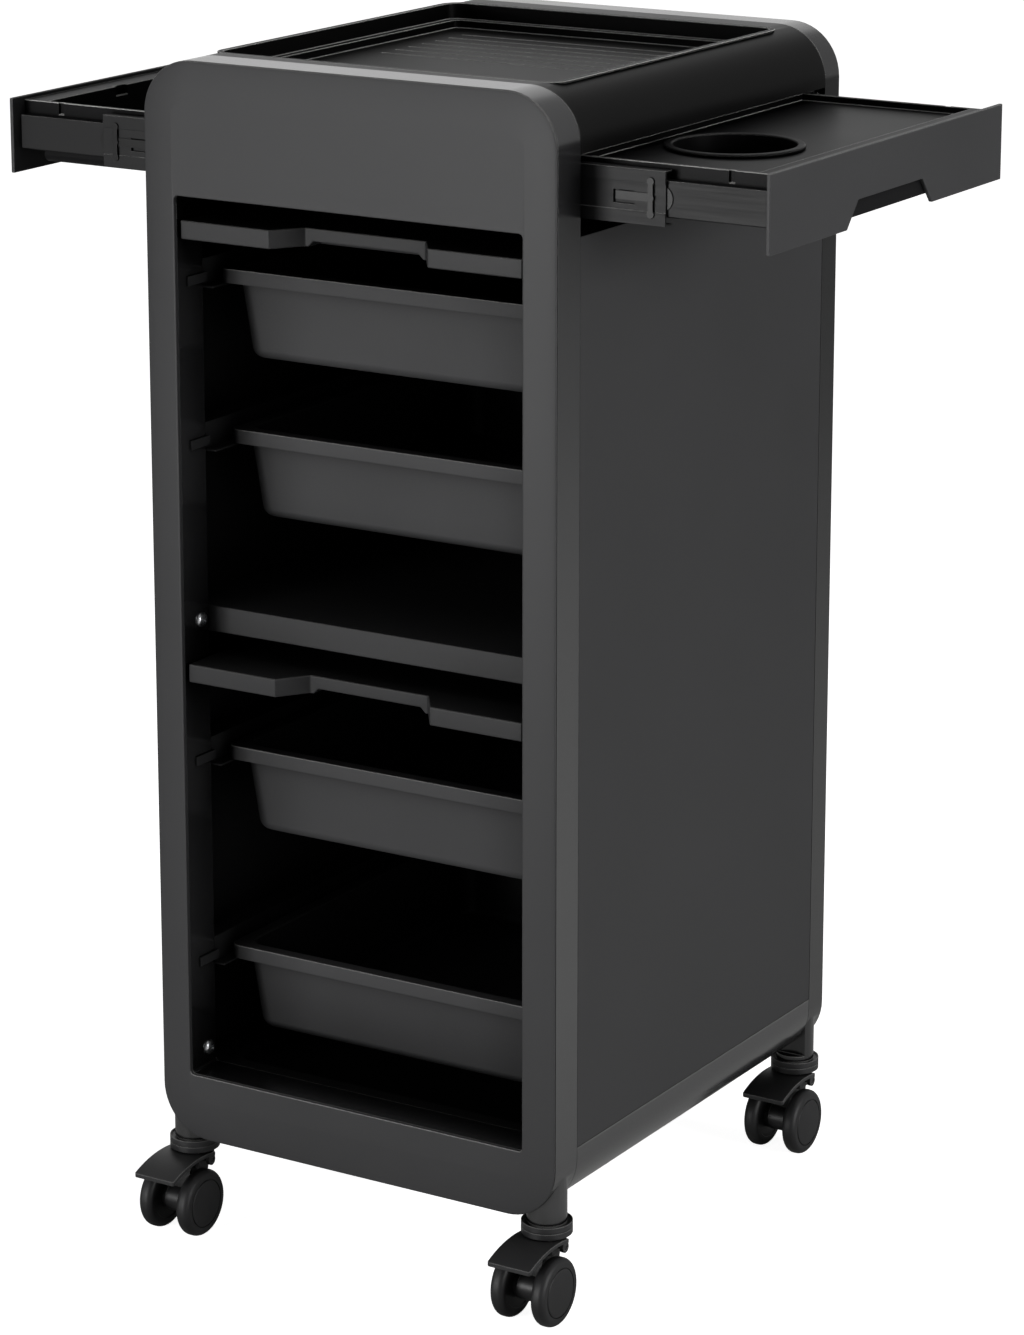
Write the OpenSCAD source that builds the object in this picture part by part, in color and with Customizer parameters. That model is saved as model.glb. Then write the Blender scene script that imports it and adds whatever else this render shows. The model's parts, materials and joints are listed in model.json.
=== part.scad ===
// Rolling salon trolley: a cabinet on four braked twin casters, open at the front, with four
// bins, two pull-out boards and a drawer on ball slides on each side.
// X runs to the right, Y to the back, Z up. The origin is on the floor, under the middle.

/* [Cabinet] */
// Width of the cabinet
body_w = 335; // [320:1:410]
// Depth of the cabinet, front plate to back frame
body_d = 404; // [400:1:490]
// Height of the cabinet without its casters
body_h = 796; // [790:1:960]
// Radius of the rounded edges that run front to back
corner_r = 39; // [30:1:45]
// Thickness of the front plate
plate_t = 3; // [2:0.5:4]
// Depth of the front frame with its plate
rim_d = 33; // [31:0.5:45]
// Depth of the back frame
back_d = 22; // [20:0.5:35]
// Wall of the moulded frames, the top cover and the base shell
shell_t = 2.5; // [2:0.1:3]
// Thickness of the sheet steel panels
sheet_t = 1.2; // [1:0.1:1.6]
// Visible seam between neighbouring pieces
seam = 0.3; // [0.2:0.05:0.6]

/* [Front opening] */
// Width of the opening
opening_w = 284; // [240:1:290]
// Height of its lower edge above the underside of the cabinet
opening_z0 = 50; // [46:1:70]
// Distance of its upper edge below the top of the cabinet
opening_drop = 95; // [90:1:120]
// Radius of its corners
opening_r = 3; // [1:0.5:6]

/* [Side walls] */
// Height of the rounded base shell
skirt_h = 47; // [46:1:60]
// Distance from the top of the cabinet to the lower edge of its cover
cover_h = 44; // [42:1:60]

/* [Top tray] */
// Width of the basin
tray_w = 275; // [200:1:285]
// Length of the basin
tray_l = 309; // [200:1:312]
// Distance from the front plate to the basin
tray_y = 49; // [46:1:60]
// Depth of the basin
tray_depth = 18; // [10:1:24]
// Radius of the basin's corners
tray_r = 11; // [6:1:20]
// Number of grooves in its floor
groove_n = 7; // [1:1:9]
// Distance between the grooves
groove_pitch = 18.2; // [10:0.1:20]
// Length of a groove
groove_l = 212; // [100:1:220]
// Distance from the last groove to the back of the basin
groove_back = 39; // [20:1:60]

/* [Side drawers] */
// Travel of a drawer, which is drawn open
drawer_travel = 142.5; // [60:0.5:172]
// Gap between the two drawers when both are pushed in
drawer_gap = 25; // [10:1:40]
// Thickness of the drawer front
front_t = 3; // [2:0.5:4]
// Wall of the drawers
drawer_wall = 2.5; // [1.5:0.1:3]
// Width of the ledge beside the drawer front
ledge_w = 17; // [12:1:22]
// Depth of the right drawer's tray below its rim
shallow_depth = 5; // [3:0.5:9]
// Height of the left drawer's box
box_h = 44; // [30:1:46]
// Inner diameter of the cup
cup_d = 85; // [50:1:92]
// Depth of the cup
cup_depth = 43; // [20:1:44]
// Wall of the cup
cup_wall = 2; // [1.5:0.1:2.5]
// Width of the cup's rim outside its wall
cup_rim = 4; // [3:0.5:6]
// Distance of the cup's axis from the drawer front
cup_from_front = 93; // [55:0.5:98]
// Distance of the cup's axis from the front frame
cup_from_frame = 122; // [70:1:200]
// Clearance around the cup in its hole
cup_clear = 0.5; // [0.3:0.1:1]

/* [Ball slides] */
// Height of the cabinet member
slide_h = 45; // [37:0.5:54]
// Sheet that the members are rolled from
slide_t = 1.2; // [1:0.1:1.4]

/* [Boards] */
// Thickness of a pull-out board
board_h = 13.5; // [10:0.5:16]
// Height of the upper board's underside above the underside of the cabinet
board_top_z = 669.9; // [655:0.1:672]
// Height of the lower board's underside above the underside of the cabinet
board_low_z = 348; // [340:0.5:352]
// Set-back of a board behind the front face
board_y = 4; // [3.5:0.5:8]
// Half width of the grip notch at the front edge
notch_half = 65.5; // [40:0.5:80]
// Depth of the grip notch
notch_d = 22; // [14:0.5:30]

/* [Bins] */
// Heights of the four bin rims above the underside of the cabinet
bin_tops = [642.5, 524, 290, 137];
// Set-back of the four bins behind the front face
bin_backs = [48, 58, 48, 48];
// Height of a bin
bin_h = 66; // [50:1:77]
// Height of its rim
bin_rim_h = 10.5; // [8:0.5:14]
// Overhang of the rim outside the body
bin_lip = 8; // [6:0.5:14]
// Narrowing of the body towards its floor, each side
bin_taper = 5.5; // [3:0.5:10]
// Length of a bin
bin_l = 318; // [200:1:320]
// Wall of a bin
bin_wall = 2.2; // [1.5:0.1:3]
// Radius of the lower edges
bin_r = 7; // [4:0.5:12]
// Clearance beside a bin or board in the opening
side_clear = 2.4; // [2:0.1:4]
// Clearance under a sliding lip
lip_clear = 0.3; // [0.2:0.05:0.5]

/* [Middle shelf] */
// Height of the shelf above the underside of the cabinet
shelf_z = 398; // [380:1:410]
// Height of its front flange
shelf_flange = 19.5; // [12:0.5:24]

/* [Casters] */
// Gap between the wheels and the underside of the cabinet
caster_rise = 24; // [24:0.5:40]
// Diameter of the wheels
wheel_d = 50; // [41:1:60]
// Width of one wheel
wheel_w = 11.5; // [10.5:0.5:14]
// Width of the hub between the wheels
hub_w = 15.6; // [14:0.2:20]
// Distance of the axle in front of the stem
trail = 18; // [15:0.5:22]
// Distance of the stems from the sides
stem_inset = 15.5; // [15.5:0.5:24]
// Distance of the front stems from the front face
stem_front = 18; // [18:0.5:26]
// Distance of the back stems from the back face
stem_back = 14.6; // [14.6:0.2:20]
// Radius of the socket around a stem
socket_r = 14.5; // [12:0.1:14.5]
// Radius of the stem pin
stem_r = 5.45; // [4:0.05:6]
// Running clearance of the pins and axles
run_clear = 0.05; // [0.03:0.01:0.08]
// Radius of the caster's collar
collar_r = 18.4; // [17:0.1:19]
// Reach of the brake pedal in front of the stem
pedal_reach = 52; // [48:0.5:58]
// Width of the brake pedal
pedal_w = 35; // [28:0.5:36]
// Thickness of the brake pedal
pedal_t = 2.8; // [2:0.1:3.2]

/* [Hidden] */
$fn = 64;
BINS = [0 : 3];

// Where the cabinet stands: the whole object is centred on the origin, front to back.
ground_gap = wheel_d + caster_rise;
reach_front = stem_front - pedal_reach;
reach_back = body_d - stem_back + collar_r;
front_y = -(reach_front + reach_back) / 2;

// Heights above the underside of the cabinet
opening_z1 = body_h - opening_drop;
cover_z = body_h - cover_h;
slide_under = 7.5;
slide_over = 2.5;
slot_h = slide_h + slide_under + slide_over;
slot_z = cover_z - slot_h;
side_top_z = slot_z - seam;

// Front to back
back_y = body_d - back_d;
inner_y0 = rim_d + seam;
inner_y1 = back_y - seam;
mid_y = (rim_d + back_y) / 2;
panel_in = body_w / 2 - sheet_t;
flange_w = 12;
sheet_gap = 0.2;
deck_gap = 0.3;
flange_gap = 2;
runner_y0 = inner_y0 + sheet_t + sheet_gap;
runner_y1 = inner_y1 - sheet_t - sheet_gap;

// Ball slides: distances from the face that each slide is mounted on
mount_t = 1.5;
slide_z = slot_z + slide_under + slide_h / 2;
slide_d = 12.2;
outer_gap = 2.8;
inner_gap = 5.3;
middle_h = slide_h - 2 * (slide_t + outer_gap);
inner_h = middle_h - 2 * (slide_t + inner_gap);
lip_t = 2.5;
latch_y = 1.5;
middle_y = 2.6;
middle_web_y = 3.4;
inner_web_y = 5.5;
drawer_y = mount_t + slide_d + 0.5;
drawer_l = (body_w - drawer_gap) / 2;
slide_end = 8;
slide_l = drawer_l - slide_end - 1;
slide_x0 = body_w / 2 - slide_end - slide_l;
middle_l = slide_l - 4;
inner_l = slide_l - 6;
cage_l = 50;
cage_side = 0.45;
cage_y = 6.5;
ball_gap = 0.1;

// Drawers, drawn open
front_x = body_w / 2 + drawer_travel;
front_z0 = slot_z + seam;
front_z1 = cover_z - seam;
drawer_top = front_z1 - 2.7;
drawer_y0 = rim_d + drawer_y;
drawer_y1 = back_y - drawer_y;
drawer_in = front_x - drawer_l;
skirt_in_z = slide_z - inner_h / 2 - 2;
grip_rise = 18.7;
grip_half = 65;
grip_slope = 16.7;
grip_plate_z = slot_z + 7;
grip_plate_side = 8;
grip_plate_drop = 4;
cup_x = front_x - cup_from_front;
cup_y = rim_d + cup_from_frame;
cup_floor_z = drawer_top - shallow_depth;

// Boards and bins
half_open = opening_w / 2;
board_half = half_open - side_clear;
board_l = inner_y1 - board_y - 6;
bin_half = half_open - side_clear;
bin_body = bin_half - bin_lip;
runner_t = 1.5;
runner_in = bin_body + 3;
runner_web = bin_half + 6;
runner_rise = 8;

// Casters, measured from the underside of the cabinet at the stem
socket_z = -4.2;
collar_t = 4.3;
housing_z = socket_z - collar_t - seam;
housing_t = 4.5;
wheel_r = wheel_d / 2;
axle_z = -caster_rise - wheel_r;
axle_r = 3;
hub_r = 10.5;
pivot_y = -3;
pivot_z = -21;
pivot_r = 2;
pivot_half = pedal_w / 2 - 0.5;
neck_half = 10;
stem_top = 30;

module cabinet() { translate([0, front_y, ground_gap]) children(); }

// Extrudes an outline drawn in X and Z along Y, from y0 to y1.
module along_y(y0, y1) {
    translate([0, y1, 0]) rotate([90, 0, 0]) linear_extrude(height = y1 - y0) children();
}

// Extrudes an outline drawn in Y and Z along X, from x0 to x1.
module along_x(x0, x1) {
    translate([x0, 0, 0]) rotate([90, 0, 90]) linear_extrude(height = x1 - x0) children();
}

// A rectangle from corner a to corner b with round corners of radius r
module round_rect(a, b, r) {
    translate([a[0] + r, a[1]]) square([b[0] - a[0] - 2 * r, b[1] - a[1]]);
    translate([a[0], a[1] + r]) square([b[0] - a[0], b[1] - a[1] - 2 * r]);
    for (x = [a[0] + r, b[0] - r], z = [a[1] + r, b[1] - r]) translate([x, z]) circle(r);
}

// Outline of the cabinet seen from the front, drawn in by inset
module outline(inset) {
    round_rect([-body_w / 2 + inset, inset], [body_w / 2 - inset, body_h - inset], corner_r - inset);
}

module opening_outline(grow) {
    round_rect([-half_open - grow, opening_z0 - grow],
               [half_open + grow, opening_z1 + grow], opening_r + grow);
}

module block(a, b) { translate(a) cube([b[0] - a[0], b[1] - a[1], b[2] - a[2]]); }

module front_plate() {
    color("#4b4b4c") cabinet() difference() {
        along_y(0, plate_t) outline(0);
        along_y(-1, plate_t + 1) opening_outline(0);
    }
}

// Sockets for the stems: the frames carry them at their lower corners.
module sockets(y) {
    for (s = [-1, 1]) translate([s * (body_w / 2 - stem_inset), y, socket_z])
        cylinder(r = socket_r, h = stem_top + 4 - socket_z);
}

module socket_bores(y) {
    for (s = [-1, 1]) translate([s * (body_w / 2 - stem_inset), y, socket_z - 1])
        cylinder(r = stem_r + run_clear, h = stem_top + 1.5 - socket_z);
}

screw_y = 24;
screw_z = [63.5, 389.5];
screw_r = 1.9;
screw_head_r = 4.8;
seam_groove = 0.8;

module front_frame() {
    color("#3f3f40") cabinet() difference() {
        union() {
            difference() {
                union() {
                    along_y(plate_t, plate_t + seam_groove) outline(seam_groove);
                    along_y(plate_t + seam_groove, rim_d) outline(0);
                }
                difference() {
                    along_y(plate_t - 1, rim_d - shell_t) outline(shell_t + seam_groove);
                    along_y(plate_t - 2, rim_d) opening_outline(shell_t);
                }
            }
            sockets(stem_front);
        }
        along_y(plate_t - 1, rim_d + 1) opening_outline(0);
        socket_bores(stem_front);
        for (s = [-1, 1], z = screw_z) translate([s * half_open, screw_y, z])
            rotate([0, 90, 0]) cylinder(r = screw_r + 0.1, h = 20, center = true);
    }
}

back_lip = 16;
bay_web = 12;

module back_frame() {
    color("#3f3f40") cabinet() difference() {
        union() {
            difference() {
                along_y(back_y, body_d) outline(0);
                along_y(back_y - 1, body_d - shell_t) outline(shell_t);
                along_y(back_y - 1, body_d + 1) outline(back_lip);
            }
            along_y(back_y, back_y + shell_t) intersection() {
                outline(1);
                translate([-body_w / 2, slot_z - bay_web]) square([body_w, slot_h + 2 * bay_web]);
            }
            intersection() {
                sockets(body_d - stem_back);
                block([-body_w, back_y, -20], [body_w, body_d + 5, 60]);
            }
            intersection() {
                sockets(body_d - stem_back);
                block([-body_w, 0, -20], [body_w, body_d + 5, -seam]);
            }
        }
        socket_bores(body_d - stem_back);
    }
}

module back_panel() {
    color("#3a3a3b") cabinet() along_y(body_d - shell_t - sheet_t, body_d - shell_t) difference() {
        outline(shell_t + 0.2);
        for (s = [-1, 1]) translate([s * (body_w / 2 - stem_inset), 0])
            square([2 * socket_r + 1, 2 * (stem_top + 5)], center = true);
    }
}

// A side panel: a sheet with its four edges turned inwards
module side_sheet() {
    difference() {
        block([panel_in - flange_w, inner_y0, skirt_h + seam], [body_w / 2, inner_y1, side_top_z]);
        block([0, inner_y0 + sheet_t, skirt_h + seam + sheet_t],
              [panel_in, inner_y1 - sheet_t, side_top_z - sheet_t]);
    }
}

module side_panel_right() { color("#3c3c3d") cabinet() side_sheet(); }
module side_panel_left() { color("#3c3c3d") cabinet() mirror([1, 0, 0]) side_sheet(); }

// Slots in the rounded lower edges: their middle and their size
drain_in = 9;
drain_y = 118;
drain_z = 6;
drain = [12, 10, 7];

module base_shell() {
    color("#3c3c3d") cabinet() difference() {
        along_y(inner_y0, inner_y1) difference() {
            intersection() {
                outline(0);
                translate([-body_w / 2, 0]) square([body_w, skirt_h]);
            }
            outline(shell_t);
        }
        for (s = [-1, 1])
            translate([s * (body_w / 2 - drain_in), drain_y, drain_z]) cube(drain, center = true);
    }
}

pan_margin = 12;
pan_half = 130;
pan_depth = 8;
pan_t = 2;
pan_r = 8;
floor_half = panel_in - flange_w - flange_gap;
floor_z0 = skirt_h + seam + sheet_t;
floor_joint = 18;
floor_joint_w = 1.4;

module base_floor() {
    color("#232323") cabinet() difference() {
        union() {
            block([-floor_half, inner_y0, floor_z0], [floor_half, inner_y1, opening_z0]);
            block([-panel_in + sheet_gap, runner_y0, floor_z0],
                  [panel_in - sheet_gap, runner_y1, opening_z0]);
            translate([0, 0, opening_z0 - pan_depth - pan_t]) linear_extrude(height = pan_depth + 1)
                round_rect([-pan_half - pan_t, inner_y0 + pan_margin - pan_t],
                           [pan_half + pan_t, inner_y1 - pan_margin + pan_t], pan_r + pan_t);
        }
        translate([0, 0, opening_z0 - pan_depth]) linear_extrude(height = pan_depth + 1)
            round_rect([-pan_half, inner_y0 + pan_margin], [pan_half, inner_y1 - pan_margin], pan_r);
        for (s = [-1, 1]) translate([s * (panel_in - floor_joint), mid_y, opening_z0])
            cube([floor_joint_w, body_d, floor_joint_w], center = true);
    }
}

tray_lip = 2.5;
tray_lip_t = 1;
tray_wall = 2;
tray_fit = 0.3;

module top_cover() {
    color("#434344") cabinet() difference() {
        along_y(inner_y0, inner_y1) difference() {
            intersection() {
                outline(0);
                translate([-body_w / 2, cover_z]) square([body_w, cover_h]);
            }
            outline(shell_t);
        }
        translate([0, 0, body_h - 10]) linear_extrude(height = 20) tray_outline(tray_wall + tray_fit);
        translate([0, 0, body_h - tray_lip_t]) linear_extrude(height = 20)
            tray_outline(tray_wall + tray_fit + tray_lip);
    }
}

module tray_outline(grow) {
    round_rect([-tray_w / 2 - grow, tray_y - grow],
               [tray_w / 2 + grow, tray_y + tray_l + grow], tray_r + grow);
}

groove_w = 2.2;
groove_deep = 1;
tray_floor_z = body_h - tray_depth;
groove_y0 = tray_y + tray_l - groove_back - (groove_n - 1) * groove_pitch;
tray_step = 6;

module top_tray() {
    color("#1d1d1d") cabinet() difference() {
        union() {
            translate([0, 0, tray_floor_z - tray_wall]) linear_extrude(height = tray_depth + tray_wall)
                tray_outline(tray_wall);
            translate([0, 0, body_h - tray_lip_t]) linear_extrude(height = tray_lip_t)
                tray_outline(tray_lip + tray_wall);
        }
        translate([0, 0, tray_floor_z + tray_step]) linear_extrude(height = tray_depth) tray_outline(0);
        translate([0, 0, tray_floor_z]) linear_extrude(height = tray_depth) tray_outline(-tray_step);
        for (i = [0 : groove_n - 1])
            translate([-groove_l / 2, groove_y0 + i * groove_pitch, tray_floor_z - groove_deep])
                cube([groove_l, groove_w, tray_step]);
    }
}

deck_t = 1.5;

module drawer_bay_floor() {
    deck_z = side_top_z - sheet_t;
    color("#2a2a2a") cabinet() union() {
        block([-panel_in + deck_gap, runner_y0, deck_z - deck_t], [panel_in - deck_gap, runner_y1, deck_z]);
        block([-floor_half, inner_y0, deck_z - deck_t], [floor_half, inner_y1, deck_z]);
    }
}

mount_half = body_w / 2 - slide_end;
mount_under = 3;
mount_over = 2;

module slide_mounts() {
    color("#2a2a2a") cabinet() for (y = [rim_d, back_y - mount_t])
        block([-mount_half, y, slot_z + mount_under], [mount_half, y + mount_t, cover_z - mount_over]);
}

shelf_half = panel_in - deck_gap;

module middle_shelf() {
    color("#4a4a4b") cabinet() difference() {
        block([-shelf_half, runner_y0, shelf_z - shelf_flange], [shelf_half, runner_y1, shelf_z]);
        block([-shelf_half + sheet_t, runner_y0 + sheet_t, shelf_z - shelf_flange - 1],
              [shelf_half - sheet_t, runner_y1 - sheet_t, shelf_z - sheet_t]);
    }
}

// A ledge on each side wall, with a turned-up web, drawn in X and Z for the right side
module runner_profile(rim_z0, rise) {
    translate([runner_in, rim_z0 - lip_clear - runner_t]) square([runner_web - runner_in, runner_t]);
    translate([runner_web - runner_t, rim_z0 - lip_clear - runner_t])
        square([runner_t, rise + lip_clear + runner_t]);
    translate([runner_web - runner_t, rim_z0 + rise - runner_t])
        square([panel_in - runner_web + runner_t, runner_t]);
}

stop_h = 7;
stop_t = 1.4;
stop_y = 14;
module bin_runners() {
    color("#1b1b1b") cabinet() for (s = [0, 1], i = BINS) mirror([s, 0, 0]) {
        along_y(runner_y0, runner_y1) runner_profile(bin_tops[i] - bin_rim_h, bin_rim_h + runner_rise);
        translate([0, 0, bin_tops[i] - stop_h - 1]) {
            block([half_open - stop_t, stop_y, 0], [half_open, runner_y0 + 2, stop_h]);
            block([half_open - stop_t, inner_y0, 0], [runner_web, runner_y0 + 2, stop_h]);
        }
    }
}

board_ledge = 12;
board_guide = 9;

module board_runners() {
    color("#1b1b1b") cabinet() for (s = [0, 1], z = [board_low_z, board_top_z]) mirror([s, 0, 0])
        along_y(runner_y0, runner_y1) {
            translate([board_half - board_ledge, z - lip_clear - runner_t])
                square([panel_in - board_half + board_ledge, runner_t]);
            translate([panel_in - runner_t, z - lip_clear - runner_t])
                square([runner_t, board_guide + runner_t]);
            translate([board_half + lip_clear, z - lip_clear - runner_t])
                square([runner_t, board_guide + runner_t]);
        }
}

screw_head_h = 3;
screw_l = 9;

// A pan-head screw on the Z axis: the head's seat is at 0 and the shank points down.
module pan_screw() {
    difference() {
        union() {
            intersection() {
                translate([0, 0, -2.6]) sphere(r = 5.6);
                cylinder(r = screw_head_r, h = screw_head_h);
            }
            translate([0, 0, -screw_l]) cylinder(r = screw_r, h = screw_l + 0.5);
        }
        for (a = [0, 90]) rotate([0, 0, a]) translate([0, 0, screw_head_h]) cube([4.6, 1, 3], center = true);
    }
}

module frame_screws() {
    color("#b9bcc0") cabinet() for (s = [0, 1], z = screw_z) mirror([s, 0, 0])
        translate([half_open, screw_y, z]) rotate([0, -90, 0]) pan_screw();
}

// Stem pins with their collars, pressed into the sockets of the frames
stem_low = 16;

module caster_stems() {
    color("#2b2b2b") cabinet() for (s = [-1, 1], y = [stem_front, body_d - stem_back])
        translate([s * (body_w / 2 - stem_inset), y, 0]) {
            translate([0, 0, housing_z - stem_low]) cylinder(r = stem_r, h = stem_top - housing_z + stem_low);
            difference() {
                translate([0, 0, socket_z - collar_t]) cylinder(r = collar_r, h = collar_t);
                translate([0, 0, socket_z - 1.2]) difference() {
                    cylinder(r1 = collar_r - 1.6, r2 = collar_r - 0.6, h = 1.3);
                    cylinder(r = socket_r - 0.5, h = 2);
                }
            }
        }
}

// Front and back slides are mirror images: y is measured from the mounting face.
module slide_pair(x0, x1) {
    for (f = [0, 1]) translate([0, f == 0 ? rim_d + mount_t : back_y - mount_t, slide_z])
        mirror([0, f, 0]) along_x(x0, x1) children();
}

module place_pair(x, z) {
    for (f = [0, 1]) translate([x, f == 0 ? rim_d + mount_t : back_y - mount_t, slide_z + z])
        mirror([0, f, 0]) children();
}

module outer_profile() {
    h = slide_h / 2;
    translate([0, -h]) square([slide_t, slide_h]);
    for (m = [0, 1]) mirror([0, m]) {
        translate([0, h - slide_t]) square([slide_d, slide_t]);
        translate([slide_d - slide_t, h - slide_t - lip_t]) square([slide_t, lip_t + 0.1]);
    }
}

module slide_outers() {
    color("#17181a") cabinet() for (s = [0, 1]) mirror([s, 0, 0])
        slide_pair(slide_x0, slide_x0 + slide_l) outer_profile();
}

band_h = 9;

module middle_profile() {
    h = middle_h / 2;
    translate([middle_web_y, -h]) square([slide_t, middle_h]);
    for (m = [0, 1]) mirror([0, m]) {
        translate([middle_y, h - band_h]) square([middle_web_y - middle_y + 0.1, band_h]);
        translate([middle_web_y, h - slide_t]) square([slide_d - middle_web_y - 0.7, slide_t]);
    }
}

middle_x1 = slide_x0 + middle_l + 3 + drawer_travel / 2;
latch_x = middle_x1 - 11;
latch_r = 2.6;

// Length that the sheet of the middle member is open for its latch
window_l = 16;
window_h = 9;

module slide_middle() {
    difference() {
        slide_pair(middle_x1 - middle_l, middle_x1) middle_profile();
        place_pair(latch_x - 21, 0) translate([0, 0, -1]) cube([window_l, 30, window_h], center = true);
        place_pair(latch_x, 0) rotate([90, 0, 0]) cylinder(r = latch_r + 0.1, h = 30, center = true);
    }
}

module slide_middle_right() { color("#1d1e20") cabinet() slide_middle(); }
module slide_middle_left() { color("#1d1e20") cabinet() mirror([1, 0, 0]) slide_middle(); }

cage_t = 1;
ball_pitch = 14;
// Distances of the cages from the ends of the members that they run in
cage_back = [8, 6];
cage_from_web = 2.9;

// Ball cages: a strip with its balls, above and below the middle and the drawer member.
// The strip is a little wider than its balls, which run in the gap between two members.
module cage(z, gap, y, x0) {
    ball_r = gap / 2 - ball_gap;
    half = ball_r + cage_side;
    for (m = [1, -1]) place_pair(x0, m * z) {
        translate([0, y - half, -cage_t / 2]) cube([cage_l, 2 * half, cage_t]);
        for (i = [0 : 2]) translate([cage_l / 2 + (i - 1) * ball_pitch, y, 0]) sphere(r = ball_r);
    }
}

module slide_cages() {
    outer_z = (slide_h / 2 + middle_h / 2 - slide_t) / 2;
    inner_z = (middle_h / 2 - slide_t + inner_h / 2) / 2;
    cage(outer_z, outer_gap, cage_y, slide_x0 + slide_l - cage_l - cage_back[0]);
    cage(inner_z, inner_gap, inner_web_y + cage_from_web, middle_x1 - cage_l - cage_back[1]);
}

module slide_cages_right() { color("#8d9094") cabinet() slide_cages(); }
module slide_cages_left() { color("#8d9094") cabinet() mirror([1, 0, 0]) slide_cages(); }

latch_gap = 0.3;
latch_end = inner_web_y - latch_gap;
latch_arm = 4;
latch_half = 11;
latch_knob = 2.8;
tongue_l = 27;
tongue_h = 6;
tongue_t = 0.8;
nose_r = 9;

// A plastic latch across each middle member, with its tongue in the window and a nose at the end
module slide_latches() {
    place_pair(latch_x, 0) {
        translate([0, latch_y, 0]) rotate([-90, 0, 0]) cylinder(r = latch_r, h = latch_end - latch_y);
        translate([-latch_arm / 2, latch_y, -latch_half])
            cube([latch_arm, middle_y - latch_y, 2 * latch_half]);
        for (m = [-1, 1]) translate([0, latch_y, m * latch_half])
            rotate([-90, 0, 0]) cylinder(r = latch_knob, h = middle_y - latch_y);
        translate([-tongue_l, middle_web_y - tongue_t, -tongue_h / 2]) cube([tongue_l, tongue_t, tongue_h]);
    }
    place_pair(middle_x1, 0) intersection() {
        translate([-nose_r / 2, middle_web_y + slide_t, 0])
            rotate([-90, 0, 0]) cylinder(r = nose_r, h = latch_end - middle_web_y - slide_t);
        translate([0, 0, -nose_r]) cube([nose_r, inner_web_y, 2 * nose_r]);
    }
}

module slide_latches_right() { color("#141414") cabinet() slide_latches(); }
module slide_latches_left() { color("#141414") cabinet() mirror([1, 0, 0]) slide_latches(); }

module inner_profile() {
    h = inner_h / 2;
    translate([inner_web_y, -h]) square([slide_t, inner_h]);
    for (m = [0, 1]) mirror([0, m])
        translate([inner_web_y, h - slide_t]) square([drawer_y - mount_t - inner_web_y, slide_t]);
}

inner_x1 = front_x - front_t - 2;

module slide_inner() { slide_pair(inner_x1 - inner_l, inner_x1) inner_profile(); }
module slide_inner_right() { color("#202124") cabinet() slide_inner(); }
module slide_inner_left() { color("#202124") cabinet() mirror([1, 0, 0]) slide_inner(); }

// Outline of the grip in a drawer front, drawn in Y and Z
module grip_outline(grow) {
    translate([mid_y, front_z0]) polygon([
        [-grip_half - grow, -1], [-grip_half + grip_slope - grow, grip_rise + grow],
        [grip_half - grip_slope + grow, grip_rise + grow], [grip_half + grow, -1]]);
}

module drawer_front() {
    along_x(front_x - front_t, front_x) difference() {
        translate([inner_y0, front_z0]) square([inner_y1 - inner_y0, front_z1 - front_z0]);
        grip_outline(0);
    }
}

module drawer_right_front() { color("#474748") cabinet() drawer_front(); }
module drawer_left_front() { color("#474748") cabinet() mirror([1, 0, 0]) drawer_front(); }

slot_w = 4.5;
slot_deep = 3.6;
slot_low = 9.5;
slot_x = front_x - 36;
ledge_step = 3;
ledge_x = front_x - ledge_w - ledge_step;

// Slots in the end walls of a drawer
module wall_slots() {
    for (y = [drawer_y0, drawer_y1])
        translate([slot_x, y, drawer_top - slot_low / 2 + 1])
            cube([slot_w, slot_deep, slot_low], center = true);
}

// Plate behind the grip in the drawer front
module grip_plate() {
    half = grip_half + grip_plate_side;
    along_x(front_x - front_t - drawer_wall, front_x - front_t)
        translate([mid_y - half, grip_plate_z])
        square([2 * half, drawer_top - grip_plate_drop - grip_plate_z]);
}

cup_hole = cup_d + 2 * cup_wall + 2 * cup_clear;
cup_rim_h = 3;

// The right drawer: a shallow tray with a ledge at its front and walls that carry the slides
module drawer_right_tray() {
    color("#2f2f2f") cabinet() difference() {
        union() {
            block([drawer_in, drawer_y0, skirt_in_z], [front_x - front_t, drawer_y1, drawer_top]);
            grip_plate();
        }
        block([drawer_in + drawer_wall, drawer_y0 + drawer_wall, cup_floor_z],
              [front_x - ledge_w, drawer_y1 - drawer_wall, drawer_top + 1]);
        block([drawer_in + drawer_wall, drawer_y0 + drawer_wall, skirt_in_z - 1],
              [front_x - front_t - drawer_wall, drawer_y1 - drawer_wall, cup_floor_z - drawer_wall]);
        wall_slots();
        translate([cup_x, cup_y, cup_floor_z - 10]) cylinder(d = cup_hole, h = 30);
    }
}

module cup_insert() {
    outer_d = cup_d + 2 * cup_wall;
    rim_d0 = outer_d + 2 * cup_rim;
    color("#262626") cabinet() translate([cup_x, cup_y, cup_floor_z]) difference() {
        union() {
            translate([0, 0, cup_rim_h - cup_depth - cup_wall])
                cylinder(d = outer_d, h = cup_depth + cup_wall);
            cylinder(d = rim_d0, h = cup_rim_h - 1);
            translate([0, 0, cup_rim_h - 1.2]) cylinder(d1 = rim_d0 - 0.6, d2 = rim_d0 - 3, h = 1.2);
        }
        translate([0, 0, cup_rim_h - cup_depth]) cylinder(d = cup_d, h = cup_depth + 1);
    }
}

box_r = 6;
box_x = ledge_x;
clip_y = [84, 98];
clip_deep = 7;

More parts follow.
